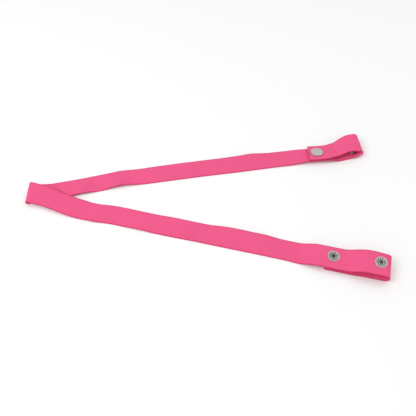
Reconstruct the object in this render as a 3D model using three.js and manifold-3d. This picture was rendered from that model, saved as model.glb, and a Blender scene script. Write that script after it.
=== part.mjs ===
// A flat webbing strap folded in half at its middle. Each end turns back on itself to form a loop
// that a press stud closes, and each loop has a second stud for a tighter setting.
// Millimetres, +Z up. The strap lies on the plane Z = 0, its fold at -X and its two loops at +X.
import * as THREE from 'three';
import { mergeVertices } from 'three/addons/utils/BufferGeometryUtils.js';
import Module from 'manifold-3d';

const wasm = await Module();
wasm.setup();

// Webbing
const WEB_WIDTH = 25;
const WEB_THICK = 0.8;
const WEB_HALF = WEB_THICK / 2;

// Lay of the strap: two arms spread from the middle fold
const ARM_ANGLE = THREE.MathUtils.degToRad(13.5);
const FOLD_TO_SNAP = 334;
const FOLD_RADIUS = 2.2;
const FOLD_TILT = THREE.MathUtils.degToRad(11.5);
const SEAM_GAP = 0.3;

// Loops, measured along the arm from the press stud that closes them
const SNAP_SPACING = 44.5;
const SNAP_TO_LOOP_END = 55.2;
const LOOP_RADIUS = 5.4;
const FLAT_ROUND_SNAP = 9;
const TIP_LAP = 8.8;
const HEM_LENGTH = 13.5;

// Press stud, with the play that its pieces have along their common axis
const PLAY = 0.1;
const CAP_RADIUS = 7.5;
const CAP_HEIGHT = 1.4;
const SHEET_METAL = 0.35;
const POST_RADIUS = 6;
const POST_BORE = 1.9;
const POST_TUBE = 2.3;
const STUD_RADIUS = 5.2;
const STUD_NECK = 3.2;
const STUD_HEAD = 3.6;
const SOCKET_RADIUS = 6.3;
const SOCKET_MOUTH = 3.9;
const SOCKET_HEIGHT = 2;
const SPRING_WIRE = 0.3;
const RIVET_TUBE = 2;

// Heights in a press stud, from the middle plane of the arm's webbing towards the cap
const POST_FACE = -(WEB_HALF + PLAY + SHEET_METAL);
const STUD_SEAT = WEB_HALF + PLAY;
const STUD_TOP = STUD_SEAT + 1.7;
const SOCKET_FACE = STUD_SEAT + SHEET_METAL + PLAY;
const HEM_MIDDLE = SOCKET_FACE + SOCKET_HEIGHT + PLAY + WEB_HALF;
const FLAP_MIDDLE = HEM_MIDDLE + WEB_THICK + PLAY;
const CAP_FACE = FLAP_MIDDLE + WEB_HALF + PLAY;
const CAP_TOP = CAP_FACE + CAP_HEIGHT;

// How each arm lies, as [distance from the fold, value]: its roll about its own length (degrees,
// far edge up), how far it rides above the plane, and how far it sways aside from a straight line
// (mm). The upper layer of a loop leans aside by `lean`, and the press studs sit off the middle of
// the webbing by `snap_shift`.
const ARM_A = {
  name: 'a',
  cap_side: 1,
  angle: ARM_ANGLE,
  snap_shift: -1.5,
  roll: [
    [0, 11.5], [25, 1], [45, -2], [65, -4], [80, -1], [105, -6], [128, 0], [235, 0], [260, 5],
    [285, -0.8], [305, -1.7], [322, -8], [346, -8], [370, 7],
  ],
  hop: [[0, 0], [300, 0], [322, 0.3]],
  sway: [
    [0, 3], [20, 3.1], [40, 3.3], [60, 3.9], [80, 4.9], [105, 6], [130, 4.6], [165, 3.3],
    [200, 1.8], [230, 0.1], [260, -1.4], [285, -2.4], [305, -4], [323, -7], [345, -7], [368, -8.5],
  ],
  lean: [[342, 0], [366, 5], [392, 4]],
};
const ARM_B = {
  name: 'b',
  cap_side: -1,
  angle: -ARM_ANGLE,
  snap_shift: 1.5,
  roll: [
    [0, 11.5], [25, 8], [60, 3], [85, 0], [205, 0], [230, 6.6], [260, 5.8], [285, -0.3],
    [305, 3], [322, 5], [346, 5], [369, 9],
  ],
  hop: [[0, 2 * FOLD_RADIUS], [40, 2.6], [75, 0], [298, 0], [323, 5.6], [345, 5.6], [368, 10.7]],
  sway: [
    [0, 3], [20, 2.8], [40, 0.6], [60, -1.4], [80, -1.5], [105, 0.5], [130, 0.3], [165, 0],
    [200, 0.6], [230, 0.5], [260, 0.7], [285, 0.7], [305, -0.4], [323, -1.2], [345, -1.2],
    [368, -1.5],
  ],
  lean: [[0, 0], [1, 0]],
};

const PINK = { color: 0xf0629a, roughness: 0.75, metalness: 0 };
const NICKEL = { color: 0xb9b7b2, roughness: 0.32, metalness: 1 };
const BRASS = { color: 0xa89a7c, roughness: 0.38, metalness: 1 };
const STEEL = { color: 0x8e8f92, roughness: 0.35, metalness: 1 };

// Value at a distance, on a smooth curve through the stations that never overshoots them
function along(stations, distance) {
  const last = stations.length - 1;
  if (distance <= stations[0][0]) return stations[0][1];
  if (distance >= stations[last][0]) return stations[last][1];
  const rate = (i) => (stations[i + 1][1] - stations[i][1]) / (stations[i + 1][0] - stations[i][0]);
  const slope = (i) => {
    if (i === 0 || i === last || rate(i - 1) * rate(i) <= 0) return 0;
    return 2 / (1 / rate(i - 1) + 1 / rate(i));
  };
  const next = stations.findIndex(([at]) => at > distance);
  const [from, low] = stations[next - 1];
  const [to, high] = stations[next];
  const t = (distance - from) / (to - from);
  const bend = (slope(next - 1) * (1 - t) - slope(next) * t) * (to - from) * t * (1 - t);
  return low + (high - low) * t * t * (3 - 2 * t) + bend;
}

// Frame of the webbing's middle plane at a distance along an arm: X along, Y across, Z up
function frameAt(arm, distance) {
  const roll = THREE.MathUtils.degToRad(along(arm.roll, distance));
  const height = WEB_HALF + WEB_WIDTH / 2 * Math.abs(Math.sin(roll)) + along(arm.hop, distance);
  return new THREE.Matrix4()
    .makeTranslation(distance, along(arm.sway, distance), height)
    .multiply(new THREE.Matrix4().makeRotationX(roll));
}

// Frame of the press stud at a distance along an arm
function seatAt(arm, distance) {
  const aside = new THREE.Matrix4().makeTranslation(0, arm.snap_shift, 0);
  return frameAt(arm, distance).multiply(aside);
}

function evenly(from, to, spacing) {
  const count = Math.max(1, Math.round(Math.abs(to - from) / spacing));
  return Array.from({ length: count + 1 }, (_, i) => from + (to - from) * i / count);
}

// Half circle of a path that turns back, from the layer at `low` to the layer at `high`
function turnBack(x, low, high, bulge, steps) {
  const radius = (high - low) / 2;
  return evenly(-Math.PI / 2, Math.PI / 2, Math.PI / steps).map((angle) => new THREE.Vector2(
    x + bulge * Math.abs(radius) * Math.cos(angle),
    low + radius + radius * Math.sin(angle),
  ));
}

// Strip of webbing whose middle plane follows a side view path of [distance, height] points
function strip(path, width) {
  const geometry = new THREE.BoxGeometry(path.length - 1, width, WEB_THICK, path.length - 1, 1, 1);
  const position = geometry.attributes.position;
  for (let i = 0; i < position.count; i += 1) {
    const station = Math.round(position.getX(i) + (path.length - 1) / 2);
    const ahead = path[Math.min(station + 1, path.length - 1)].clone();
    const normal = ahead.sub(path[Math.max(station - 1, 0)]).normalize();
    const height = position.getZ(i);
    position.setX(i, path[station].x - normal.y * height);
    position.setZ(i, path[station].y + normal.x * height);
  }
  return geometry;
}

// Lays a flat strip along an arm, so that it rolls and rises with it, and its end at the middle
// fold is cut parallel to the fold
function layAlong(arm, geometry) {
  const position = geometry.attributes.position;
  const point = new THREE.Vector3();
  for (let i = 0; i < position.count; i += 1) {
    point.fromBufferAttribute(position, i);
    const skew = 1 - THREE.MathUtils.smoothstep(point.x, FOLD_TURN, WEB_WIDTH);
    const distance = point.x + skew * (point.y + arm.sway[0][1]) * Math.tan(arm.angle);
    const lean = along(arm.lean, distance) * Math.abs(point.z) / (2 * LOOP_RADIUS);
    point.set(0, point.y + lean, point.z).applyMatrix4(frameAt(arm, distance));
    position.setXYZ(i, point.x, point.y, point.z);
  }
  return geometry;
}

function merged(geometry) {
  const bare = geometry.clone();
  bare.deleteAttribute('normal');
  bare.deleteAttribute('uv');
  return mergeVertices(bare, 1e-4);
}

function toManifold(geometry) {
  const closed = merged(geometry);
  return new wasm.Manifold(new wasm.Mesh({
    numProp: 3,
    vertProperties: closed.attributes.position.array,
    triVerts: new Uint32Array(closed.index.array),
  }));
}

function subtract(geometry, tools) {
  let solid = toManifold(geometry);
  for (const tool of tools) solid = solid.subtract(toManifold(tool));
  const mesh = solid.getMesh();
  const result = new THREE.BufferGeometry();
  result.setAttribute('position', new THREE.BufferAttribute(mesh.vertProperties, 3));
  result.setIndex(new THREE.BufferAttribute(mesh.triVerts, 1));
  result.computeVertexNormals();
  return result;
}

// Hole punched square through the webbing at a distance along an arm
function punch(arm, distance, radius) {
  const tool = new THREE.CylinderGeometry(radius, radius, 4 * CAP_TOP, 24);
  return tool.rotateX(Math.PI / 2).applyMatrix4(seatAt(arm, distance));
}

function meshOf(name, geometry, finish) {
  const mesh = new THREE.Mesh(geometry, new THREE.MeshStandardMaterial(finish));
  mesh.name = name;
  return mesh;
}

// Outline turned about the press stud's axis, given as [radius, height] points
function turned(name, profile, segments, finish) {
  const points = profile.map(([radius, height]) => new THREE.Vector2(radius, height));
  const geometry = new THREE.LatheGeometry(points, segments).rotateX(Math.PI / 2);
  return meshOf(name, merged(geometry), finish);
}

// Height of the flap's middle plane above the arm's, at a distance from the closing stud
function flapHeight(distance) {
  const rise = THREE.MathUtils.smoothstep(distance, FLAT_ROUND_SNAP, 34);
  return FLAP_MIDDLE + (2 * LOOP_RADIUS - FLAP_MIDDLE) * rise;
}

const LOOP_TURN = SNAP_TO_LOOP_END - WEB_HALF - LOOP_RADIUS;
const FOLD_TURN = WEB_HALF + FOLD_RADIUS;

function armWebbing(arm) {
  const start = (FOLD_TURN + SEAM_GAP) / Math.cos(arm.angle);
  const end = FOLD_TO_SNAP + LOOP_TURN - SEAM_GAP;
  const path = evenly(start, end, 5).map((distance) => new THREE.Vector2(distance, 0));
  return subtract(layAlong(arm, strip(path, WEB_WIDTH)), [
    punch(arm, FOLD_TO_SNAP, POST_TUBE + SEAM_GAP),
    punch(arm, FOLD_TO_SNAP + SNAP_SPACING, POST_TUBE + SEAM_GAP),
  ]);
}

function loopBend(arm) {
  const path = turnBack(FOLD_TO_SNAP + LOOP_TURN, 0, arm.cap_side * 2 * LOOP_RADIUS, 1, 14);
  return merged(layAlong(arm, strip(path, WEB_WIDTH)));
}

// Flap from the loop's bend back over the closing stud, its tip hemmed towards the socket
function flapWebbing(arm) {
  const tip = -TIP_LAP + WEB_HALF + (FLAP_MIDDLE - HEM_MIDDLE) / 2;
  const run = evenly(LOOP_TURN - SEAM_GAP, tip, 4);
  const hem = evenly(tip, HEM_LENGTH - TIP_LAP, 4);
  const path = [
    ...run.map((distance) => new THREE.Vector2(distance, flapHeight(distance))),
    ...turnBack(tip, FLAP_MIDDLE, HEM_MIDDLE, -1, 6).slice(1, -1),
    ...hem.map((distance) => new THREE.Vector2(distance, HEM_MIDDLE)),
  ].map((point) => new THREE.Vector2(FOLD_TO_SNAP + point.x, arm.cap_side * point.y));
  return subtract(layAlong(arm, strip(path, WEB_WIDTH)), [punch(arm, FOLD_TO_SNAP, RIVET_TUBE + SEAM_GAP)]);
}

function foldWebbing() {
  const path = turnBack(FOLD_TURN, 0, 2 * FOLD_RADIUS, -1, 12);
  const width = WEB_WIDTH / Math.cos(ARM_ANGLE);
  const height = WEB_HALF * Math.cos(FOLD_TILT) + width / 2 * Math.sin(FOLD_TILT);
  return merged(strip(path, width).rotateX(FOLD_TILT).translate(0, ARM_A.sway[0][1], height));
}

// Ring-backed post: a flange on the outer face and a tube through the webbing into the stud
function post(name) {
  return turned(name, [
    [POST_BORE, POST_FACE],
    [POST_RADIUS - 0.3, POST_FACE],
    [POST_RADIUS, POST_FACE + 0.15],
    [POST_RADIUS, POST_FACE + SHEET_METAL],
    [POST_TUBE, POST_FACE + SHEET_METAL],
    [POST_TUBE, STUD_SEAT + 0.75],
    [POST_TUBE + 0.4, STUD_SEAT + 0.8],
    [POST_TUBE + 0.4, STUD_SEAT + 1.05],
    [POST_BORE, STUD_SEAT + 1.05],
    [POST_BORE, POST_FACE],
  ], 32, NICKEL);
}

// Male half: a base on the webbing and a hollow head with a narrower neck
function stud(name) {
  return turned(name, [
    [POST_TUBE + 0.25, STUD_SEAT],
    [STUD_RADIUS, STUD_SEAT],
    [STUD_RADIUS, STUD_SEAT + SHEET_METAL],
    [STUD_NECK, STUD_SEAT + SHEET_METAL],
    [STUD_NECK, STUD_SEAT + 1.2],
    [STUD_HEAD, STUD_SEAT + 1.4],
    [STUD_HEAD - 0.1, STUD_TOP - 0.15],
    [STUD_HEAD - 0.4, STUD_TOP],
    [POST_BORE, STUD_TOP],
    [POST_BORE, STUD_TOP - 0.35],
    [POST_TUBE + 0.6, STUD_TOP - 0.35],
    [POST_TUBE + 0.6, STUD_SEAT + 0.6],
    [POST_TUBE + 0.25, STUD_SEAT + 0.6],
    [POST_TUBE + 0.25, STUD_SEAT],
  ], 28, BRASS);
}

// Female half: a cup with a groove round its mouth for the spring
function socket(name) {
  const top = SOCKET_FACE + SOCKET_HEIGHT;
  const groove = SOCKET_MOUTH + SHEET_METAL;
  return turned(name, [
    [SOCKET_MOUTH, SOCKET_FACE],
    [SOCKET_RADIUS - 0.4, SOCKET_FACE],
    [SOCKET_RADIUS, SOCKET_FACE + 0.3],
    [SOCKET_RADIUS, top - 0.7],
    [SOCKET_RADIUS - 0.6, top],
    [RIVET_TUBE + 0.3, top],
    [RIVET_TUBE + 0.3, top - 0.4],
    [SOCKET_MOUTH, top - 0.4],
    [SOCKET_MOUTH, SOCKET_FACE + 0.95],
    [groove, SOCKET_FACE + 0.95],
    [groove, SOCKET_FACE + 0.15],
    [SOCKET_MOUTH, SOCKET_FACE + 0.15],
    [SOCKET_MOUTH, SOCKET_FACE],
  ], 28, BRASS);
}

// Open ring of wire that closes round the stud's neck
class SpringArc extends THREE.Curve {
  getPoint(t, target = new THREE.Vector3()) {
    const radius = STUD_NECK + 0.15 + SPRING_WIRE;
    const angle = THREE.MathUtils.lerp(0.12, 2 * Math.PI - 0.12, t);
    return target.set(radius * Math.cos(angle), radius * Math.sin(angle), SOCKET_FACE + 0.5);
  }
}

function spring(name) {
  const wire = new THREE.Shape();
  wire.absarc(0, 0, SPRING_WIRE, 0, 2 * Math.PI);
  const path = { steps: 28, curveSegments: 4, extrudePath: new SpringArc() };
  return meshOf(name, merged(new THREE.ExtrudeGeometry(wire, path)), STEEL);
}

// Shallow domed cap, hollow underneath, with a rounded rim
function cap(name) {
  const inner = CAP_TOP - SHEET_METAL;
  return turned(name, [
    [0, inner],
    [CAP_RADIUS - 2, inner - 0.1],
    [CAP_RADIUS - 0.7, inner - 0.5],
    [CAP_RADIUS - 0.7, CAP_FACE],
    [CAP_RADIUS - 0.3, CAP_FACE],
    [CAP_RADIUS, CAP_FACE + 0.3],
    [CAP_RADIUS, CAP_FACE + 0.7],
    [CAP_RADIUS - 0.5, CAP_TOP - 0.3],
    [CAP_RADIUS - 1.6, CAP_TOP],
    [0, CAP_TOP],
  ], 36, NICKEL);
}

// Tubular rivet from inside the cap through flap and hem, spread inside the socket
function capRivet(name) {
  const head = CAP_TOP - SHEET_METAL - 0.3;
  const spread = SOCKET_FACE + SOCKET_HEIGHT - 0.45;
  return turned(name, [
    [0, spread + 0.45],
    [RIVET_TUBE - 0.6, spread + 0.45],
    [RIVET_TUBE - 0.6, spread - 0.2],
    [RIVET_TUBE + 1, spread - 0.2],
    [RIVET_TUBE + 1, spread],
    [RIVET_TUBE, spread],
    [RIVET_TUBE, head - 0.25],
    [CAP_RADIUS - 3, head - 0.25],
    [CAP_RADIUS - 3, head],
    [0, head],
  ], 24, STEEL);
}

// Group seated on an arm, its Z axis pointing towards the side that the cap is on
function seat(arm, distance, pieces) {
  const group = new THREE.Group();
  group.applyMatrix4(seatAt(arm, distance));
  if (arm.cap_side < 0) group.rotateX(Math.PI);
  group.add(...pieces);
  return group;
}

function armGroup(arm) {
  const { name } = arm;
  const group = new THREE.Group();
  group.rotation.z = arm.angle;
  group.add(
    meshOf(`webbing_arm_${name}`, armWebbing(arm), PINK),
    meshOf(`webbing_loop_bend_${name}`, loopBend(arm), PINK),
    meshOf(`webbing_flap_${name}`, flapWebbing(arm), PINK),
    seat(arm, FOLD_TO_SNAP, [
      post(`post_1_${name}`),
      stud(`stud_1_${name}`),
      socket(`socket_${name}`),
      spring(`socket_spring_${name}`),
      cap(`cap_${name}`),
      capRivet(`cap_rivet_${name}`),
    ]),
    seat(arm, FOLD_TO_SNAP + SNAP_SPACING, [
      post(`post_2_${name}`),
      stud(`stud_2_${name}`),
    ]),
  );
  return group;
}

const strap = new THREE.Group();
strap.add(
  meshOf('webbing_middle_fold', foldWebbing(), PINK),
  armGroup(ARM_A),
  armGroup(ARM_B),
);

// The origin is the middle of the strap's footprint on the plane it lies on
const bounds = new THREE.Box3().setFromObject(strap, true);
const middle = bounds.getCenter(new THREE.Vector3());
strap.position.set(-middle.x, -middle.y, -bounds.min.z);

export default strap;
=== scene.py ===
"""Looks of a pink webbing strap, folded in half, with a press stud loop at each end.

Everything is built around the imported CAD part, in its frame and in metres. The press studs sit where
the part's own posts do. The webbing is swept along the same two arms as the CAD webbing, with the
finer rolls, dips and creases of a soft strap lying on a floor.
"""

import math

import bmesh
import bpy
import numpy as np
from mathutils import Matrix, Vector


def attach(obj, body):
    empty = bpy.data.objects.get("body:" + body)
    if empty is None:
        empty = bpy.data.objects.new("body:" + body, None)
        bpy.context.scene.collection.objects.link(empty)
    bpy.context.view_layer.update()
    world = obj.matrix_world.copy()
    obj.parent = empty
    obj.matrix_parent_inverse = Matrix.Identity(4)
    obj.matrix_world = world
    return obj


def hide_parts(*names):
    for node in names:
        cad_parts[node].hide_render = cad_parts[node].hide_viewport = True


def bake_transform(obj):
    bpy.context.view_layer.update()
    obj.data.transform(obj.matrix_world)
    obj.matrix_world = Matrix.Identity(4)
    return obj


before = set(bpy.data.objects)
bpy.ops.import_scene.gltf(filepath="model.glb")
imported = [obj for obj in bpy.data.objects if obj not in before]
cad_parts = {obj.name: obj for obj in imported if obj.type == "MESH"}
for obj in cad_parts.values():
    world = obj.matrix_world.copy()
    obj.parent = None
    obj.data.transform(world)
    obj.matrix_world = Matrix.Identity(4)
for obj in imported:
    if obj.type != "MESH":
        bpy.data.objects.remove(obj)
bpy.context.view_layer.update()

MM = 0.001

# Webbing
WEB_WIDTH = 25 * MM
WEB_THICK = 0.8 * MM
WEB_HALF = WEB_THICK / 2
SELVEDGE = 1.5 * MM
SELVEDGE_SWELL = 0.1
STATION_GAP = 1.5 * MM
FLOOR_GAP = 0.02 * MM

# Lay of the strap, as in the CAD part
ARM_ANGLE = math.radians(13.5)
FOLD_TO_SNAP = 334 * MM
SNAP_TO_LOOP_END = 55.2 * MM
FOLD_RADIUS = 2.2 * MM
LOOP_RADIUS = 5.4 * MM
TIP_LAP = 8.8 * MM
HEM_LENGTH = 13.5 * MM
FOLD_TURN = WEB_HALF + FOLD_RADIUS
LOOP_TURN = SNAP_TO_LOOP_END - WEB_HALF - LOOP_RADIUS

# Where the webbing is parted between bodies, this far short of each bend
SEAM_BEFORE_FOLD = 6 * MM
SEAM_BEFORE_LOOP = 3 * MM

# Press stud
PLAY = 0.1 * MM
CAP_RADIUS = 7.5 * MM
CAP_HEIGHT = 1.4 * MM
SHEET_METAL = 0.35 * MM
POST_RADIUS = 6 * MM
POST_BORE = 1.9 * MM
POST_TUBE = 2.3 * MM
STUD_RADIUS = 5.2 * MM
STUD_NECK = 3.2 * MM
STUD_HEAD = 3.6 * MM
STUD_HEIGHT = 1.7 * MM
SOCKET_RADIUS = 6.3 * MM
SOCKET_MOUTH = 3.9 * MM
SOCKET_HEIGHT = 2 * MM
SPRING_WIRE = 0.3 * MM
RIVET_TUBE = 2 * MM

# Heights in a press stud, from the middle plane of the arm's webbing towards the cap
POST_FACE = -(WEB_HALF + PLAY + SHEET_METAL)
STUD_SEAT = WEB_HALF + PLAY
STUD_TOP = STUD_SEAT + STUD_HEIGHT
SOCKET_FACE = STUD_SEAT + SHEET_METAL + PLAY
HEM_MIDDLE = SOCKET_FACE + SOCKET_HEIGHT + PLAY + WEB_HALF
FLAP_MIDDLE = HEM_MIDDLE + WEB_THICK + PLAY
CAP_FACE = FLAP_MIDDLE + WEB_HALF + PLAY
CAP_TOP = CAP_FACE + CAP_HEIGHT

# How each arm lies, in millimetres and degrees. A list of pairs holds (distance from the fold, value)
# stations, with a smooth curve between them. Far is the +Y side of the webbing, and near the other.
#   cap_side     1 where the closing stud's cap is on top of the loop, -1 where it is underneath
#   snap_shift   how far the press studs sit off the middle of the webbing
#   roll         how much the far edge is lifted
#   hop          how far the lower edge rides above the floor
#   sway         how far the arm runs aside from a straight line
#   lean         how far the loop's returning layer lies aside of the other
#   creases      low cross ridges and dips: (distance, half length, height, slant)
#   arm_droop    how far the arm's edges hang down beside the closing stud
#   flap_droop   the same for the flap, at its near and its far edge
#   flap_roll    roll of the loop's returning layer
#   flap_rise    (distance past the closing stud, height of the returning layer) on its way out
#   end_heights  share of the loop's height that is left at its end, at the near and the far edge
#   yaw          how much the webbing turns within its own plane, which takes its far edge back
#   slip         how far the webbing moves aside where it is turned
ARMS = {
    "a": {
        "cap_side": 1,
        "snap_shift": -1.5,
        "roll": [(0, 11.5), (20, 2), (40, -2.7), (60, -6.1), (80, 0.3), (105, -6.4), (130, 0.9),
                 (165, 1.6), (200, 1.7), (230, 2.3), (260, 5.7), (285, -0.8), (305, -1.7),
                 (322, -8), (346, -8), (370, 7)],
        "hop": [(0, 0), (300, 0), (322, 0.3)],
        "sway": [(0, 3), (20, 3.1), (40, 3.3), (60, 3.9), (80, 4.9), (105, 6), (130, 4.6),
                 (165, 3.3), (200, 1.8), (230, 0.1), (260, -1.4), (285, -2.4), (305, -4),
                 (323, -7), (345, -7), (368, -8.5)],
        "lean": [(342, 0), (366, 5), (392, 4)],
        "creases": [(98, 9, 0.5, 0.5), (121, 8, -0.35, 0.4), (238, 7, 0.3, -0.3), (262, 9, -0.4, 0.4)],
        "arm_droop": 0,
        "flap_droop": (2.5, 0.8),
        "flap_roll": [(352, -8), (389, 11)],
        "flap_rise": [(26, 6)],
        "end_heights": (0.3, 0.55),
        "yaw": [(300, 0), (320, -11), (342, -11), (378, -4)],
        "slip": [(300, 0), (320, 1.9), (334, 0), (348, -1.9), (375, 0)],
    },
    "b": {
        "cap_side": -1,
        "snap_shift": 1.5,
        "roll": [(0, 11.5), (20, 8.2), (40, 2), (60, 2.8), (80, -1.5), (105, 0.3), (130, -2.7),
                 (165, 2.1), (200, -0.3), (230, 6.6), (260, 5.8), (285, -0.3), (305, 3),
                 (322, 5), (346, 5), (369, 9)],
        "hop": [(0, 4.4), (40, 2.6), (75, 0), (298, 0), (323, 5.6), (345, 5.6), (368, 10.7)],
        "sway": [(0, 3), (20, 2.8), (40, 0.6), (60, -1.4), (80, -1.5), (105, 0.5), (130, 0.3),
                 (165, 0), (200, 0.6), (230, 0.5), (260, 0.7), (285, 0.7), (305, -0.4),
                 (323, -1.2), (345, -1.2), (368, -1.5)],
        "lean": [(0, 0)],
        "creases": [(84, 8, 0.4, 0.5), (112, 7, -0.3, -0.4), (208, 9, 0.35, 0.6), (243, 10, -0.4, 0.3)],
        "arm_droop": 0.7,
        "flap_droop": (0.9, 0.9),
        "flap_roll": [(346, 5), (369, 9)],
        "flap_rise": [(34, 10.7)],
        "end_heights": (0.9, 0.7),
        "yaw": [(300, 0), (322, 8), (346, 8), (372, 0)],
        "slip": [(0, 0)],
    },
}


def eased(stations, at):
    """Value at a distance, on a smooth curve through the stations that never overshoots them."""
    last = len(stations) - 1
    if at <= stations[0][0]:
        return stations[0][1]
    if at >= stations[last][0]:
        return stations[last][1]

    def rate(i):
        (start, low), (end, high) = stations[i], stations[i + 1]
        return (high - low) / (end - start)

    def slope(i):
        if i in (0, last) or rate(i - 1) * rate(i) <= 0:
            return 0
        return 2 / (1 / rate(i - 1) + 1 / rate(i))

    i = next(i for i in range(last) if stations[i + 1][0] > at)
    (start, low), (end, high) = stations[i], stations[i + 1]
    t = (at - start) / (end - start)
    bend = (slope(i) * (1 - t) - slope(i + 1) * t) * (end - start) * t * (1 - t)
    return low + (high - low) * t * t * (3 - 2 * t) + bend


def smoothstep(at, start, end):
    """0 up to the start, 1 from the end on, and a smooth rise between them."""
    t = min(1, max(0, (at - start) / (end - start)))
    return t * t * (3 - 2 * t)


# ---------------------------------------------------------------- places taken from the CAD part

def seat_of(post, cap_side):
    """Frame of a press stud: its origin in the middle of the arm's webbing, Z towards the cap."""
    corners = [vertex.co[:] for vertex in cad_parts[post].data.vertices]
    points = np.unique(np.round(corners, 6), axis=0)
    middle = points.mean(0)
    axis = np.linalg.eigh(np.cov((points - middle).T))[1][:, 0]
    if axis[2] * cap_side < 0:
        axis = -axis
    reach = (points - middle) @ axis
    return Vector(middle + axis * (reach.min() - POST_FACE)), Vector(axis)


def lay_of_arm(name):
    """Adds to an arm its seats, its direction and the point that it starts from at the fold."""
    arm = ARMS[name]
    angle = ARM_ANGLE * arm["cap_side"]
    along = Vector((math.cos(angle), math.sin(angle), 0))
    arm["along"] = along
    arm["across"] = Vector((0, 0, 1)).cross(along)
    arm["seats"] = []
    for number in (1, 2):
        origin, axis = seat_of(f"post_{number}_{name}", arm["cap_side"])
        x = (along - axis * along.dot(axis)).normalized()
        turn = Matrix((x, axis.cross(x), axis)).transposed().to_4x4()
        arm["seats"].append(Matrix.Translation(origin) @ turn)
    roll = math.radians(eased(arm["roll"], FOLD_TO_SNAP / MM))
    aside = (eased(arm["sway"], FOLD_TO_SNAP / MM) + arm["snap_shift"] * math.cos(roll)) * MM
    start = arm["seats"][0].translation - along * FOLD_TO_SNAP - arm["across"] * aside
    arm["start"] = Vector((start.x, start.y, 0))


for arm_name in ARMS:
    lay_of_arm(arm_name)
FOLD_POINT = (ARMS["a"]["start"] + ARMS["b"]["start"]) / 2


def arm_frame(arm, distance):
    """Middle of the arm's webbing at a distance from the fold, and its directions across and up."""
    roll = math.radians(eased(arm["roll"], distance / MM))
    rise = WEB_HALF + WEB_WIDTH / 2 * abs(math.sin(roll)) + eased(arm["hop"], distance / MM) * MM
    aside = eased(arm["sway"], distance / MM) * MM
    middle = FOLD_POINT + arm["along"] * distance + arm["across"] * aside + Vector((0, 0, rise))
    across = arm["across"] * math.cos(roll) + Vector((0, 0, math.sin(roll)))
    return middle, across, arm["along"].cross(across)


# ---------------------------------------------------------------- webbing

# In the functions below, s is a place across the webbing, from its middle towards its far edge, and
# height is how far a layer lies above the arm's own layer, below it where it is negative.
COLUMNS = 27
MIDDLE_COLUMN = COLUMNS // 2
RIM_STEPS = 6
LOOP_BEND_STEPS = 18
FOLD_BEND_STEPS = 16
HEM_BEND_STEPS = 8
FLAT_HALF = WEB_WIDTH / 2 - WEB_HALF
ACROSS = np.linspace(-FLAT_HALF, FLAT_HALF, COLUMNS)
LOOP_END = FOLD_TO_SNAP + SNAP_TO_LOOP_END - WEB_HALF

# Where the droop beside the closing stud fades out along the webbing, and sets in across it
DROOP_ALONG = (9 * MM, 26 * MM)
DROOP_ACROSS = (6.5 * MM, 14 * MM)

# Where the ripples of the long run set in and fade out, in millimetres from the fold
RIPPLES_START = (20, 40)
RIPPLES_END = (285, 305)
EDGE_WAVE = 0.18

# Where a loop starts to close in towards its end: the arm's middle, how much sooner the arm's edges
# do, and the returning layer
PINCH_ARM = 383 * MM
PINCH_EDGES_SOONER = 13 * MM
PINCH_RETURN = 352 * MM
PINCH_ACROSS = (6.5 * MM, 11 * MM)

# The flap lies flat on the closing stud up to the first of these distances past it, and has risen to
# the loop's full height at the second, in millimetres
FLAP_FLAT_TO = 9
FLAP_RISEN_AT = 46


def beside_snap(distance, s):
    """1 at the webbing's edges beside the closing stud, 0 under the stud and well away from it."""
    close = 1 - smoothstep(abs(distance - FOLD_TO_SNAP), *DROOP_ALONG)
    return close * smoothstep(abs(s), *DROOP_ACROSS)


def ripple(arm, distance, s):
    """Low cross ridges and dips of the long run, slanted a little, and a slow wave in its edges."""
    at = distance / MM
    wave = math.sin(at / 17 + 1.3) * math.sin(at / 47)
    total = EDGE_WAVE * wave * (s / (WEB_WIDTH / 2)) ** 2
    for middle, half, amount, slant in arm["creases"]:
        total += amount * math.exp(-(((at - middle - slant * s / MM) / half) ** 2))
    return total * smoothstep(at, *RIPPLES_START) * (1 - smoothstep(at, *RIPPLES_END)) * MM


def pinch(arm, distance, height, s):
    """The loop closes in towards its end, but stays flat where the spare stud grips the webbing."""
    layer = abs(height) / (2 * LOOP_RADIUS)
    edge = smoothstep(abs(s), *PINCH_ACROSS)
    start = (1 - layer) * (PINCH_ARM - PINCH_EDGES_SOONER * edge) + layer * PINCH_RETURN
    near, far = arm["end_heights"]
    kept = near + (far - near) * (s / WEB_WIDTH + 0.5)
    closed = (1 - kept) * smoothstep(distance, start, LOOP_END)
    return -(height - arm["cap_side"] * LOOP_RADIUS) * closed


def lift(arm, distance, height, s):
    """How far a point of the webbing stands off its plain course, along the arm's up direction."""
    layer = min(1, abs(height) / (2 * LOOP_RADIUS))
    on_flap = min(1, abs(height) / HEM_MIDDLE)
    near, far = arm["flap_droop"]
    droop = (1 - on_flap) * arm["arm_droop"] + on_flap * (near if s < 0 else far)
    twist = 0
    if distance > FOLD_TO_SNAP:
        twist = eased(arm["flap_roll"], distance / MM) - eased(arm["roll"], distance / MM)
    total = pinch(arm, distance, height, s) - droop * MM * beside_snap(distance, s)
    total += layer * s * math.tan(math.radians(twist))
    return total + (1 - on_flap) * ripple(arm, distance, s)


def place(arm, distance, height, s):
    """Point of the webbing's middle surface: along the arm, above its plane, and across.

    Near the middle fold the webbing's rows are skewed, so that they lie parallel to the fold."""
    skew = 1 - smoothstep(distance, FOLD_TURN, WEB_WIDTH)
    sway = arm["sway"][0][1] * MM
    at = distance + skew * (s + sway) * math.tan(ARM_ANGLE * arm["cap_side"])
    middle, across, up = arm_frame(arm, at)
    yaw = math.radians(eased(arm["yaw"], at / MM))
    turned_across = across * math.cos(yaw) - arm["along"] * math.sin(yaw)
    lean = eased(arm["lean"], at / MM) * MM * abs(height) / (2 * LOOP_RADIUS)
    slip = eased(arm["slip"], at / MM) * MM
    return middle + turned_across * s + across * (lean + slip) + up * (height + lift(arm, at, height, s))


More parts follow.
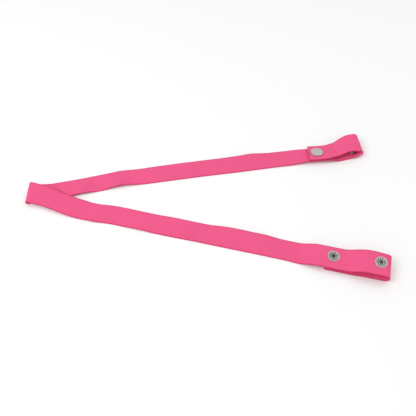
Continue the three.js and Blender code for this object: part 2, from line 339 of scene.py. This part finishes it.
def rows_along(arm, path):
    """Grid of points of the webbing along a side view path of (distance, height) points."""
    return np.array([[place(arm, d, h, s) for s in ACROSS] for d, h in path])


def unit(vectors):
    """The same directions, each of length 1."""
    return vectors / np.linalg.norm(vectors, axis=-1, keepdims=True)


def strip_rings(grid):
    """Closed ring of points round each row of the grid, and the ring's (across, side) on the cloth.

    The section is flat with a slightly thicker rounded edge. Side is 1 on top and 0 underneath."""
    across = unit(np.gradient(grid, axis=1))
    up = unit(np.cross(np.gradient(grid, axis=0), across))
    selvedge = np.exp(-(((np.abs(ACROSS) - (WEB_WIDTH / 2 - SELVEDGE / 2)) / (SELVEDGE / 2.2)) ** 2))
    half = WEB_HALF * (1 + SELVEDGE_SWELL * selvedge)
    turns = np.linspace(math.pi / 2, -math.pi / 2, RIM_STEPS + 2)[1:-1]
    ring, places = [], []
    for k in range(COLUMNS):
        ring.append(grid[:, k] + up[:, k] * half[k])
        places.append((ACROSS[k], 1))
    for turn in turns:
        out, rise = WEB_HALF * math.cos(turn), half[-1] * math.sin(turn)
        ring.append(grid[:, -1] + across[:, -1] * out + up[:, -1] * rise)
        places.append((FLAT_HALF + out, 0.5))
    for k in reversed(range(COLUMNS)):
        ring.append(grid[:, k] - up[:, k] * half[k])
        places.append((ACROSS[k], 0))
    for turn in turns:
        out, rise = WEB_HALF * math.cos(turn), half[0] * math.sin(turn)
        ring.append(grid[:, 0] - across[:, 0] * out - up[:, 0] * rise)
        places.append((-FLAT_HALF - out, 0.5))
    points = np.stack(ring, axis=1)
    points[:, :, 2] += np.maximum(0, FLOOR_GAP - points[:, :, 2].min(axis=1))[:, None]
    return points, places


def sweep(name, grid, first_length):
    """Closed strip of webbing round a grid of its middle surface's points.

    The cloth attribute holds each point's place on the flat strap, in metres. Returns the piece and
    the length reached."""
    steps = np.linalg.norm(np.diff(grid[:, MIDDLE_COLUMN], axis=0), axis=1)
    lengths = first_length + np.concatenate([[0], np.cumsum(steps)])
    points, places = strip_rings(grid)
    count, around = points.shape[:2]
    faces = []
    for i in range(count - 1):
        for k in range(around):
            n = (k + 1) % around
            faces.append((i * around + k, i * around + n, (i + 1) * around + n, (i + 1) * around + k))
    faces += end_faces(0, around, flip=True) + end_faces((count - 1) * around, around, flip=False)
    mesh = bpy.data.meshes.new(name)
    mesh.from_pydata(points.reshape(-1, 3).tolist(), [], faces)
    mesh.validate()
    cloth = np.array([[(length, s, side) for s, side in places] for length in lengths], np.float32)
    place_on_cloth = mesh.attributes.new("cloth", "FLOAT_VECTOR", "POINT")
    place_on_cloth.data.foreach_set("vector", cloth.ravel())
    for polygon in mesh.polygons:
        polygon.use_smooth = True
    mark_rim_sharp(mesh, count, around)
    piece = bpy.data.objects.new(name, mesh)
    bpy.context.scene.collection.objects.link(piece)
    return piece, lengths[-1]


def end_faces(base, around, flip):
    """Faces that close an end of the strip: quads between the top and the bottom of the section."""
    top = list(range(COLUMNS))
    bottom = [2 * COLUMNS + RIM_STEPS - 1 - k for k in top]
    faces = [(top[k], bottom[k], bottom[k + 1], top[k + 1]) for k in range(COLUMNS - 1)]
    far_rim = [COLUMNS + RIM_STEPS - 1 - k for k in range(RIM_STEPS)]
    near_rim = [around - 1 - k for k in range(RIM_STEPS)]
    faces += [(top[-1], bottom[-1], *far_rim), (bottom[0], top[0], *near_rim)]
    faces = [tuple(base + k for k in face) for face in faces]
    return [face[::-1] for face in faces] if flip else faces


def mark_rim_sharp(mesh, count, around):
    """The cut ends don't bend the shading of the cloth beside them."""
    flags = []
    for edge in mesh.edges:
        rows = {vertex // around for vertex in edge.vertices}
        flags.append(rows in ({0}, {count - 1}))
    mesh.attributes.new("sharp_edge", "BOOLEAN", "EDGE").data.foreach_set("value", flags)


def evenly(start, end):
    """Distances from the start to the end, about a station's gap apart."""
    count = max(1, round(abs(end - start) / STATION_GAP))
    return [start + (end - start) * i / count for i in range(count + 1)]


def turn_back(at, low, high, side, steps):
    """Half circle of (distance, height) points from one layer back to the other.

    It bulges away from the middle fold where side is 1, and towards it where side is -1."""
    radius = (high - low) / 2
    path = []
    for i in range(steps + 1):
        angle = math.pi * i / steps - math.pi / 2
        out = side * abs(radius) * math.cos(angle)
        path.append((at + out, low + radius + radius * math.sin(angle)))
    return path


def arm_webbing(name):
    """The long run of an arm, from the middle fold to its loop."""
    arm = ARMS[name]
    start = FOLD_TURN + SEAM_BEFORE_FOLD
    end = FOLD_TO_SNAP + LOOP_TURN - SEAM_BEFORE_LOOP
    path = [(distance, 0) for distance in evenly(start, end)]
    piece, length = sweep(f"strap_arm_{name}", rows_along(arm, path), start)
    finish_webbing(piece, f"webbing_arm_{name}", f"arm_{name}")
    return length


def loop_bend(name, first_length):
    """The turn at the end of a loop, which bends between the arm and the flap."""
    arm = ARMS[name]
    side = arm["cap_side"]
    seam = FOLD_TO_SNAP + LOOP_TURN - SEAM_BEFORE_LOOP
    turn = FOLD_TO_SNAP + LOOP_TURN
    path = [(distance, 0) for distance in evenly(seam, turn)][:-1]
    path += turn_back(turn, 0, side * 2 * LOOP_RADIUS, 1, LOOP_BEND_STEPS)
    path += [(distance, side * 2 * LOOP_RADIUS) for distance in evenly(turn, seam)][1:]
    grid = rows_along(arm, path)
    piece, length = sweep(f"strap_loop_bend_{name}", grid, first_length)
    finish_webbing(piece, f"webbing_loop_bend_{name}", None)
    blend_between_ends(piece)
    return length


def blend_between_ends(piece):
    """Bakes the piece's transform into its mesh, and leaves the piece where it is."""
    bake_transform(piece)


def flap_webbing(name, first_length):
    """The end of the strap, back over the closing stud, with its tip hemmed towards the socket."""
    arm = ARMS[name]
    seam = LOOP_TURN - SEAM_BEFORE_LOOP
    tip = -TIP_LAP + WEB_HALF + (FLAP_MIDDLE - HEM_MIDDLE) / 2
    heights = [
        (FLAP_FLAT_TO, FLAP_MIDDLE / MM),
        *arm["flap_rise"],
        (FLAP_RISEN_AT, 2 * LOOP_RADIUS / MM),
    ]
    path = [(d, eased(heights, d / MM) * MM) for d in evenly(seam, tip)][:-1]
    path += turn_back(tip, FLAP_MIDDLE, HEM_MIDDLE, -1, HEM_BEND_STEPS)
    path += [(d, HEM_MIDDLE) for d in evenly(tip, HEM_LENGTH - TIP_LAP)][1:]
    path = [(FOLD_TO_SNAP + d, arm["cap_side"] * h) for d, h in path]
    piece, length = sweep(f"strap_flap_{name}", rows_along(arm, path), first_length)
    finish_webbing(piece, f"webbing_flap_{name}", f"flap_{name}")


def middle_fold():
    """The bend in the middle of the strap, from one arm round and over to the other."""
    reach = FOLD_TURN + SEAM_BEFORE_FOLD
    low = rows_along(ARMS["a"], [(d, 0) for d in evenly(reach, FOLD_TURN)])
    high = rows_along(ARMS["b"], [(d, 0) for d in evenly(FOLD_TURN, reach)])
    centre, rise = (low[-1] + high[0]) / 2, (high[0] - low[-1]) / 2
    angles = [math.pi * i / FOLD_BEND_STEPS - math.pi / 2 for i in range(1, FOLD_BEND_STEPS)]
    outwards = np.array((-FOLD_RADIUS, 0, 0))
    bend = [centre + rise * math.sin(angle) + outwards * math.cos(angle) for angle in angles]
    grid = np.concatenate([low, bend, high])
    piece, length = sweep("strap_middle_fold", grid, -reach)
    finish_webbing(piece, "webbing_middle_fold", None)
    blend_between_ends(piece)


def finish_webbing(piece, node, body):
    """Attaches a webbing piece to its body, hides the CAD node that it stands for, and gives it its
    material. A piece with no body is left unattached.
    """
    if body:
        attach(piece, body)
    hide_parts(node)
    piece.data.materials.append(FINISHES["webbing"])


# ---------------------------------------------------------------- materials

class Nodes:
    """A short way to write a material's nodes."""

    def __init__(self, name):
        self.material = bpy.data.materials.new(name)
        self.material.use_nodes = True
        self.tree = self.material.node_tree
        self.shader = self.tree.nodes["Principled BSDF"]

    def add(self, kind, inputs=(), **settings):
        node = self.tree.nodes.new(kind)
        for key, value in settings.items():
            setattr(node, key, value)
        for key, value in dict(inputs).items():
            if isinstance(value, bpy.types.NodeSocket):
                self.tree.links.new(value, node.inputs[key])
            else:
                node.inputs[key].default_value = value
        return node

    def math(self, operation, a, b=0.0, c=0.0):
        return self.add("ShaderNodeMath", {0: a, 1: b, 2: c}, operation=operation).outputs[0]

    def stretched(self, vector, factors):
        node = self.add("ShaderNodeVectorMath", {0: vector, 1: factors}, operation="MULTIPLY")
        return node.outputs[0]

    def noise(self, vector, scale, detail=2.0, roughness=0.5):
        node = self.add(
            "ShaderNodeTexNoise",
            {"Vector": vector, "Scale": scale, "Detail": detail, "Roughness": roughness},
        )
        return node.outputs["Fac"]

    def ramp(self, value, stops):
        node = self.add("ShaderNodeValToRGB", {"Fac": value})
        elements = node.color_ramp.elements
        while len(elements) < len(stops):
            elements.new(0.5)
        for element, (position, colour) in zip(elements, stops):
            element.position = position
            element.color = colour
        return node.outputs["Color"]

    def mix(self, factor, a, b):
        return self.add("ShaderNodeMix", {0: factor, 6: a, 7: b}, data_type="RGBA").outputs[2]

    def set(self, **values):
        """Sets or links the shader's inputs, and returns the material."""
        for key, value in values.items():
            socket = self.shader.inputs[key.replace("_", " ")]
            if isinstance(value, bpy.types.NodeSocket):
                self.tree.links.new(value, socket)
            else:
                socket.default_value = value
        return self.material


def shade(colour, amount):
    """Opaque colour, lighter or darker by a factor."""
    return (*[min(1, c * amount) for c in colour], 1)


PINK = (0.86, 0.104, 0.262)
SELVEDGE_PINK = (0.6, 0.035, 0.12)
RIB_ACROSS = 0.95 * MM
RIB_ALONG = 0.8 * MM
RIB_WAVER = 0.6 * MM
SELVEDGE_END = WEB_WIDTH / 2 - 0.4 * MM


def webbing_material():
    """Fine plain weave with painted shade in its grooves, a deeper selvedge at both edges, and slight
    unevenness of dye and yarn.
    """
    m = Nodes("webbing")
    cloth = m.add("ShaderNodeAttribute", attribute_name="cloth").outputs["Vector"]
    place = m.add("ShaderNodeSeparateXYZ", {"Vector": cloth})
    along, across = place.outputs["X"], place.outputs["Y"]

    waver = m.math("MULTIPLY", m.noise(cloth, scale=160.0), RIB_WAVER)
    warp = m.math("SINE", m.math("MULTIPLY", m.math("ADD", across, waver), math.tau / RIB_ACROSS))
    weft = m.math("SINE", m.math("MULTIPLY", m.math("ADD", along, waver), math.tau / RIB_ALONG))
    weave = m.math("MULTIPLY_ADD", m.math("MULTIPLY", warp, weft), 0.5, 0.5)
    groove = m.math("SUBTRACT", 1.0, weave)
    selvedge = m.add(
        "ShaderNodeMapRange",
        {
            "Value": m.math("ABSOLUTE", across),
            "From Min": WEB_WIDTH / 2 - SELVEDGE,
            "From Max": SELVEDGE_END,
        },
        interpolation_type="SMOOTHSTEP",
    ).outputs["Result"]
    fuzz = m.noise(cloth, scale=2600.0, detail=3.0, roughness=0.6)
    dye = m.noise(cloth, scale=28.0, detail=3.0)
    streak = m.noise(m.stretched(cloth, (12.0, 900.0, 1.0)), scale=1.0)

    colour = m.ramp(dye, [(0.3, shade(PINK, 0.95)), (0.7, shade(PINK, 1.04))])
    colour = m.mix(m.math("MULTIPLY", streak, 0.3), colour, shade(PINK, 0.86))
    # Painted shade: the grooves between the yarns are painted darker.
    colour = m.mix(m.math("MULTIPLY", groove, 0.28), colour, shade(PINK, 0.72))
    colour = m.mix(m.math("MULTIPLY", selvedge, 0.75), colour, shade(SELVEDGE_PINK, 1))
    height = m.math("ADD", m.math("MULTIPLY", weave, 0.8), m.math("MULTIPLY", fuzz, 0.5))
    bump = m.add("ShaderNodeBump", {"Height": height, "Strength": 0.35, "Distance": 0.12 * MM})
    return m.set(
        Base_Color=colour,
        Roughness=m.math("MULTIPLY_ADD", fuzz, 0.2, 0.62),
        Normal=bump.outputs["Normal"],
        Sheen_Weight=0.03,
        Sheen_Roughness=0.4,
        Specular_IOR_Level=0.15,
    )


def metal_material(name, plating, roughness, brushed):
    """Plated metal: fine scratches, uneven plating, and painted shade, dark metal where the piece's
    painted_shade attribute says so.
    """
    m = Nodes(name)
    place = m.add("ShaderNodeTexCoord").outputs["Object"]
    cloud = m.noise(place, scale=420.0, detail=4.0, roughness=0.6)
    stretched = m.stretched(place, (900.0, 9000.0, 3000.0))
    scratch = m.noise(stretched, scale=1.0, detail=3.0, roughness=0.7)
    painted_shade = m.add("ShaderNodeAttribute", attribute_name="painted_shade").outputs["Fac"]

    colour = m.ramp(cloud, [(0.3, shade(plating, 0.86)), (0.75, shade(plating, 1.06))])
    colour = m.mix(m.math("MULTIPLY", scratch, 0.22), colour, shade(plating, 0.7))
    # Painted shade: the piece's recesses, bore and rims are darkened towards near black.
    colour = m.mix(painted_shade, colour, shade(plating, 0.08))
    grain = m.math("ADD", m.math("MULTIPLY", scratch, brushed), cloud)
    bump = m.add(
        "ShaderNodeBump", {"Height": scratch, "Strength": 0.2 * brushed, "Distance": 0.03 * MM}
    )
    return m.set(
        Base_Color=colour,
        Metallic=1.0,
        Roughness=m.math("MULTIPLY_ADD", grain, 0.14, roughness - 0.1),
        Normal=bump.outputs["Normal"],
    )


FINISHES = {
    "webbing": webbing_material(),
    "snap_cap": metal_material("snap_cap", (0.66, 0.645, 0.62), 0.36, 1.0),
    "snap_ring": metal_material("snap_ring", (0.60, 0.585, 0.55), 0.28, 0.6),
    "snap_inner": metal_material("snap_inner", (0.60, 0.54, 0.44), 0.32, 0.6),
    "snap_steel": metal_material("snap_steel", (0.52, 0.52, 0.53), 0.34, 0.8),
}

# ---------------------------------------------------------------- press studs

ON_AXIS = 1e-9


def rounded(profile, cut):
    """The same outline of (radius, height) points with each corner cut into a small round."""
    points = [Vector(p) for p in profile]
    made = []
    for i, point in enumerate(points):
        if i in (0, len(points) - 1):
            made.append(point)
            continue
        back, ahead = points[i - 1] - point, points[i + 1] - point
        reach = min(cut, back.length * 0.4, ahead.length * 0.4)
        start, end = point + back.normalized() * reach, point + ahead.normalized() * reach
        for t in (0, 0.33, 0.67, 1):
            made.append(start * (1 - t) ** 2 + point * 2 * t * (1 - t) + end * t ** 2)
    return made


def nowhere(radius, height, angle):
    """No relief, or no painted shade, at any point of a turned piece."""
    return 0


def turned(name, profile, seat, body, finish, node, segments=64, cut=0.12 * MM, relief=nowhere,
           painted_shade=nowhere):
    """Piece turned about a press stud's axis.

    relief moves a point along the axis. painted_shade says how much shade is painted on a point, from 0
    to 1, which its finish paints as darker metal."""
    outline = rounded(profile, cut)
    closed = (outline[0] - outline[-1]).length < ON_AXIS
    if closed:
        outline = outline[:-1]
    points, rows, shade_amounts = [], [], []
    for radius, height in outline:
        first = len(points)
        if radius < ON_AXIS:
            rows.append([first] * segments)
            points.append((0, 0, height))
            shade_amounts.append(painted_shade(radius, height, 0))
            continue
        rows.append([first + k for k in range(segments)])
        for k in range(segments):
            angle = math.tau * k / segments
            raised = height + relief(radius, height, angle)
            points.append((radius * math.cos(angle), radius * math.sin(angle), raised))
            shade_amounts.append(painted_shade(radius, height, angle))
    faces = []
    for low, high in list(zip(rows, rows[1:])) + ([(rows[-1], rows[0])] if closed else []):
        for k in range(segments):
            n = (k + 1) % segments
            faces.append(list(dict.fromkeys((low[k], low[n], high[n], high[k]))))
    mesh = bpy.data.meshes.new(name)
    mesh.from_pydata(points, [], faces)
    mesh.attributes.new("painted_shade", "FLOAT", "POINT").data.foreach_set("value", shade_amounts)
    for polygon in mesh.polygons:
        polygon.use_smooth = True
    stud_piece(name, mesh, seat, body, finish, node)
    mesh.set_sharp_from_angle(angle=math.radians(38))


def stud_piece(name, mesh, seat, body, finish, node):
    """Puts a closed mesh in its press stud's place, with its faces outwards, instead of the CAD's."""
    mesh.transform(seat)
    work = bmesh.new()
    work.from_mesh(mesh)
    bmesh.ops.recalc_face_normals(work, faces=work.faces)
    work.to_mesh(mesh)
    work.free()
    mesh.materials.append(FINISHES[finish])
    piece = bpy.data.objects.new(name, mesh)
    bpy.context.scene.collection.objects.link(piece)
    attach(piece, body)
    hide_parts(node)


# Face of a ring: radial lugs between its rolled lip and its rim, and the places in shade. A pair holds
# the two radii between which something sets in or fades out.
LUGS = 12
LUG_HEIGHT = 0.24 * MM
LUG_ROWS = [r * MM for r in (3.2, 3.5, 3.9, 4.3, 4.7, 4.95)]
LUG_START = (2.9 * MM, 3.5 * MM)
LUG_END = (4.7 * MM, 5.2 * MM)
GAP_START = (3.0 * MM, 3.4 * MM)
GAP_END = (4.8 * MM, 5.1 * MM)
LIP_START = (2.0 * MM, 2.3 * MM)
LIP_END = (2.5 * MM, 2.8 * MM)
GROOVE_END = (3.0 * MM, 3.5 * MM)


def band(radius, start, end):
    """1 between the start and the end, fading to 0 over each of them."""
    return smoothstep(radius, *start) * (1 - smoothstep(radius, *end))


def lug(angle):
    """1 on a lug, 0 in the gap between two."""
    return smoothstep(math.cos(LUGS * angle), -0.2, 0.5)


def lug_relief(radius, height, angle):
    """Pressed relief on a ring's outer face: radial lugs between its rim and its rolled lip."""
    if height > POST_FACE + 0.25 * MM:
        return 0
    return -LUG_HEIGHT * band(radius, LUG_START, LUG_END) * (lug(angle) - 0.5)


def ring_painted_shade(radius, height, angle):
    """Painted shade: the bore is painted near black, and the groove round its lip, the gaps between the
    lugs and the outer rim darker.
    """
    if height > POST_FACE + 0.12 * MM:
        return 0.97 if radius < POST_TUBE and height < -WEB_HALF else 0
    groove = (1 - band(radius, LIP_START, LIP_END)) * (1 - smoothstep(radius, *GROOVE_END))
    gaps = (1 - lug(angle)) * band(radius, GAP_START, GAP_END)
    rim = smoothstep(radius, POST_RADIUS - 0.3 * MM, POST_RADIUS)
    return max(0.9 * groove, 0.85 * gaps, 0.6 * rim)


def cap_painted_shade(radius, height, angle):
    """Painted shade: the cap's rim is painted darker where it turns under."""
    return 0.75 * smoothstep(radius, CAP_RADIUS - 0.45 * MM, CAP_RADIUS - 0.02 * MM)


def post(name, seat, body, node):
    """Ring with a rolled lip, on the tube that goes through the webbing and clenches the stud half."""
    bottom_of_bore = -WEB_HALF - 0.04 * MM
    turned(name, [
        (0, bottom_of_bore),
        (POST_BORE - 0.25 * MM, bottom_of_bore),
        (POST_BORE, POST_FACE + 0.25 * MM),
        (POST_BORE + 0.15 * MM, POST_FACE - 0.1 * MM),
        (POST_BORE + 0.6 * MM, POST_FACE - 0.1 * MM),
        (POST_BORE + 1.0 * MM, POST_FACE + 0.1 * MM),
        *[(radius, POST_FACE + 0.1 * MM) for radius in LUG_ROWS],
        (POST_RADIUS - 0.85 * MM, POST_FACE + 0.08 * MM),
        (POST_RADIUS - 0.55 * MM, POST_FACE - 0.08 * MM),
        (POST_RADIUS - 0.15 * MM, POST_FACE - 0.02 * MM),
        (POST_RADIUS, POST_FACE + 0.15 * MM),
        (POST_RADIUS, POST_FACE + SHEET_METAL),
        (POST_TUBE, POST_FACE + SHEET_METAL),
        (POST_TUBE, STUD_SEAT + 0.75 * MM),
        (POST_TUBE + 0.4 * MM, STUD_SEAT + 0.8 * MM),
        (POST_TUBE + 0.4 * MM, STUD_SEAT + 1.05 * MM),
        (0, STUD_SEAT + 1.05 * MM),
    ], seat, body, "snap_ring", node, segments=96, cut=0.1 * MM, relief=lug_relief,
       painted_shade=ring_painted_shade)


def stud(name, seat, body, node):
    """Sheet metal stud: a flange on the webbing, a neck, and a head that the spring grips under."""
    turned(name, [
        (POST_TUBE + 0.25 * MM, STUD_SEAT),
        (STUD_RADIUS - 0.25 * MM, STUD_SEAT),
        (STUD_RADIUS, STUD_SEAT + 0.15 * MM),
        (STUD_RADIUS - 0.15 * MM, STUD_SEAT + SHEET_METAL + 0.03 * MM),
        (STUD_RADIUS - 0.8 * MM, STUD_SEAT + SHEET_METAL - 0.02 * MM),
        (STUD_NECK + 0.4 * MM, STUD_SEAT + SHEET_METAL),
        (STUD_NECK, STUD_SEAT + SHEET_METAL + 0.2 * MM),
        (STUD_NECK, STUD_SEAT + 1.1 * MM),
        (STUD_HEAD, STUD_SEAT + 1.4 * MM),
        (STUD_HEAD - 0.1 * MM, STUD_TOP - 0.15 * MM),
        (STUD_HEAD - 0.4 * MM, STUD_TOP),
        (POST_BORE + 0.2 * MM, STUD_TOP),
        (POST_BORE, STUD_TOP - 0.1 * MM),
        (POST_BORE, STUD_TOP - 0.35 * MM),
        (POST_TUBE + 0.6 * MM, STUD_TOP - 0.35 * MM),
        (POST_TUBE + 0.6 * MM, STUD_SEAT + 0.6 * MM),
        (POST_TUBE + 0.25 * MM, STUD_SEAT + 0.6 * MM),
        (POST_TUBE + 0.25 * MM, STUD_SEAT),
    ], seat, body, "snap_inner", node)


def socket(name, seat, body, node):
    """Sheet metal socket, with a groove inside its mouth that holds the spring."""
    top = SOCKET_FACE + SOCKET_HEIGHT
    groove = SOCKET_MOUTH + SHEET_METAL
    turned(name, [
        (SOCKET_MOUTH, SOCKET_FACE + 0.08 * MM),
        (SOCKET_MOUTH + 0.3 * MM, SOCKET_FACE),
        (SOCKET_MOUTH + 1.0 * MM, SOCKET_FACE + 0.1 * MM),
        (SOCKET_RADIUS - 0.5 * MM, SOCKET_FACE + 0.04 * MM),
        (SOCKET_RADIUS, SOCKET_FACE + 0.35 * MM),
        (SOCKET_RADIUS, top - 0.7 * MM),
        (SOCKET_RADIUS - 0.6 * MM, top),
        (RIVET_TUBE + 0.3 * MM, top),
        (RIVET_TUBE + 0.3 * MM, top - 0.4 * MM),
        (SOCKET_MOUTH, top - 0.4 * MM),
        (SOCKET_MOUTH, SOCKET_FACE + 0.95 * MM),
        (groove, SOCKET_FACE + 0.95 * MM),
        (groove, SOCKET_FACE + 0.17 * MM),
        (SOCKET_MOUTH, SOCKET_FACE + 0.17 * MM),
        (SOCKET_MOUTH, SOCKET_FACE + 0.08 * MM),
    ], seat, body, "snap_inner", node)


def cap(name, seat, body, node):
    """Shallow domed cap with its rim rolled under."""
    turned(name, [
        (0, CAP_TOP),
        (2.6 * MM, CAP_TOP - 0.02 * MM),
        (4.6 * MM, CAP_TOP - 0.07 * MM),
        (5.9 * MM, CAP_TOP - 0.16 * MM),
        (6.7 * MM, CAP_TOP - 0.32 * MM),
        (7.25 * MM, CAP_TOP - 0.62 * MM),
        (CAP_RADIUS, CAP_TOP - 0.95 * MM),
        (CAP_RADIUS, CAP_FACE + 0.22 * MM),
        (CAP_RADIUS - 0.25 * MM, CAP_FACE),
        (CAP_RADIUS - 0.75 * MM, CAP_FACE + 0.02 * MM),
        (CAP_RADIUS - 0.8 * MM, CAP_FACE + 0.5 * MM),
        (CAP_RADIUS - 1.4 * MM, CAP_TOP - 0.8 * MM),
        (CAP_RADIUS - 3 * MM, CAP_TOP - 0.55 * MM),
        (0, CAP_TOP - 0.45 * MM),
    ], seat, body, "snap_cap", node, segments=96, painted_shade=cap_painted_shade)


def rivet(name, seat, body, node):
    """Tube rivet that joins the cap to the socket through the flap and its hem."""
    head = CAP_TOP - SHEET_METAL - 0.3 * MM
    spread = SOCKET_FACE + SOCKET_HEIGHT - 0.45 * MM
    turned(name, [
        (0, spread + 0.45 * MM),
        (RIVET_TUBE - 0.6 * MM, spread + 0.45 * MM),
        (RIVET_TUBE - 0.6 * MM, spread - 0.2 * MM),
        (RIVET_TUBE + 1 * MM, spread - 0.2 * MM),
        (RIVET_TUBE + 1 * MM, spread),
        (RIVET_TUBE, spread),
        (RIVET_TUBE, head - 0.25 * MM),
        (CAP_RADIUS - 3 * MM, head - 0.25 * MM),
        (CAP_RADIUS - 3 * MM, head),
        (0, head),
    ], seat, body, "snap_steel", node, segments=40)


SPRING_STEPS = 96
SPRING_SIDES = 10
SPRING_GAP = 0.24
SPRING_SWELL = 0.12 * MM


def spring(name, seat, body, node):
    """Open ring of round wire in the socket's groove, a little wider at each quarter turn."""
    radius = STUD_NECK + 0.15 * MM + SPRING_WIRE
    points, faces = [], []
    for i in range(SPRING_STEPS + 1):
        angle = SPRING_GAP / 2 + (math.tau - SPRING_GAP) * i / SPRING_STEPS
        reach = radius + SPRING_SWELL * math.cos(2 * angle) ** 8
        for k in range(SPRING_SIDES):
            turn = math.tau * k / SPRING_SIDES
            out = reach + SPRING_WIRE * math.cos(turn)
            height = SOCKET_FACE + 0.5 * MM + SPRING_WIRE * math.sin(turn)
            points.append((out * math.cos(angle), out * math.sin(angle), height))
    for i in range(SPRING_STEPS):
        row, after = i * SPRING_SIDES, (i + 1) * SPRING_SIDES
        for k in range(SPRING_SIDES):
            n = (k + 1) % SPRING_SIDES
            faces.append((row + k, after + k, after + n, row + n))
    faces.append(tuple(range(SPRING_SIDES)))
    faces.append(tuple(SPRING_STEPS * SPRING_SIDES + k for k in reversed(range(SPRING_SIDES))))
    mesh = bpy.data.meshes.new(name)
    mesh.from_pydata(points, [], faces)
    for polygon in mesh.polygons:
        polygon.use_smooth = len(polygon.vertices) == 4
    stud_piece(name, mesh, seat, body, "snap_steel", node)


for name, arm in ARMS.items():
    closing, spare = arm["seats"]
    for number, seat in ((1, closing), (2, spare)):
        post(f"ring_post_{number}_{name}", seat, f"arm_{name}", f"post_{number}_{name}")
        stud(f"stud_half_{number}_{name}", seat, f"arm_{name}", f"stud_{number}_{name}")
    socket(f"socket_half_{name}", closing, f"flap_{name}", f"socket_{name}")
    spring(f"spring_ring_{name}", closing, f"flap_{name}", f"socket_spring_{name}")
    cap(f"snap_cap_{name}", closing, f"flap_{name}", f"cap_{name}")
    rivet(f"tube_rivet_{name}", closing, f"flap_{name}", f"cap_rivet_{name}")
    flap_webbing(name, loop_bend(name, arm_webbing(name)))
middle_fold()

# ---------------------------------------------------------------- floor, light and camera

FLOOR_HALF = 4.0
WORLD_LIGHT = 0.79

floor_mesh = bpy.data.meshes.new("floor")
corners = [(-1, -1), (1, -1), (1, 1), (-1, 1)]
floor_mesh.from_pydata([(x * FLOOR_HALF, y * FLOOR_HALF, 0) for x, y in corners], [], [(0, 1, 2, 3)])
floor = bpy.data.objects.new("floor", floor_mesh)
bpy.context.scene.collection.objects.link(floor)
floor_finish = Nodes("floor")
floor_mesh.materials.append(floor_finish.set(Base_Color=(0.93, 0.93, 0.93, 1), Roughness=0.8))

world = bpy.data.worlds.new("studio")
bpy.context.scene.world = world
world.use_nodes = True
background = world.node_tree.nodes["Background"]
background.inputs["Color"].default_value = (1, 1, 1, 1)
background.inputs["Strength"].default_value = WORLD_LIGHT


def soft_light(name, place, size, power):
    """Round soft light that faces the middle of the strap."""
    light = bpy.data.lights.new(name, "AREA")
    light.shape = "DISK"
    light.size = size
    light.energy = power
    lamp = bpy.data.objects.new(name, light)
    lamp.location = place
    lamp.rotation_euler = (-Vector(place)).to_track_quat("-Z", "Y").to_euler()
    bpy.context.scene.collection.objects.link(lamp)


soft_light("key", (-1.1, -0.5, 1.2), size=0.9, power=10)
soft_light("fill", (0.9, 0.3, 1.3), size=1.0, power=2.5)

CAMERA_TARGET = FOLD_POINT + Vector((199.5, -11.25, 0)) * MM
CAMERA_AZIMUTH = math.radians(-0.906)
CAMERA_ELEVATION = math.radians(50)
CAMERA_DISTANCE = 544.6 * MM
CAMERA_LENS = 43.27

camera_data = bpy.data.cameras.new("camera")
camera_data.sensor_width = 36
camera_data.lens = CAMERA_LENS
camera = bpy.data.objects.new("camera", camera_data)
back = Vector((
    -math.sin(CAMERA_AZIMUTH) * math.cos(CAMERA_ELEVATION),
    -math.cos(CAMERA_AZIMUTH) * math.cos(CAMERA_ELEVATION),
    math.sin(CAMERA_ELEVATION),
))
camera.location = CAMERA_TARGET + back * CAMERA_DISTANCE
camera.rotation_euler = (-back).to_track_quat("-Z", "Y").to_euler()
bpy.context.scene.collection.objects.link(camera)
bpy.context.scene.camera = camera
bpy.context.scene.view_settings.view_transform = "Standard"
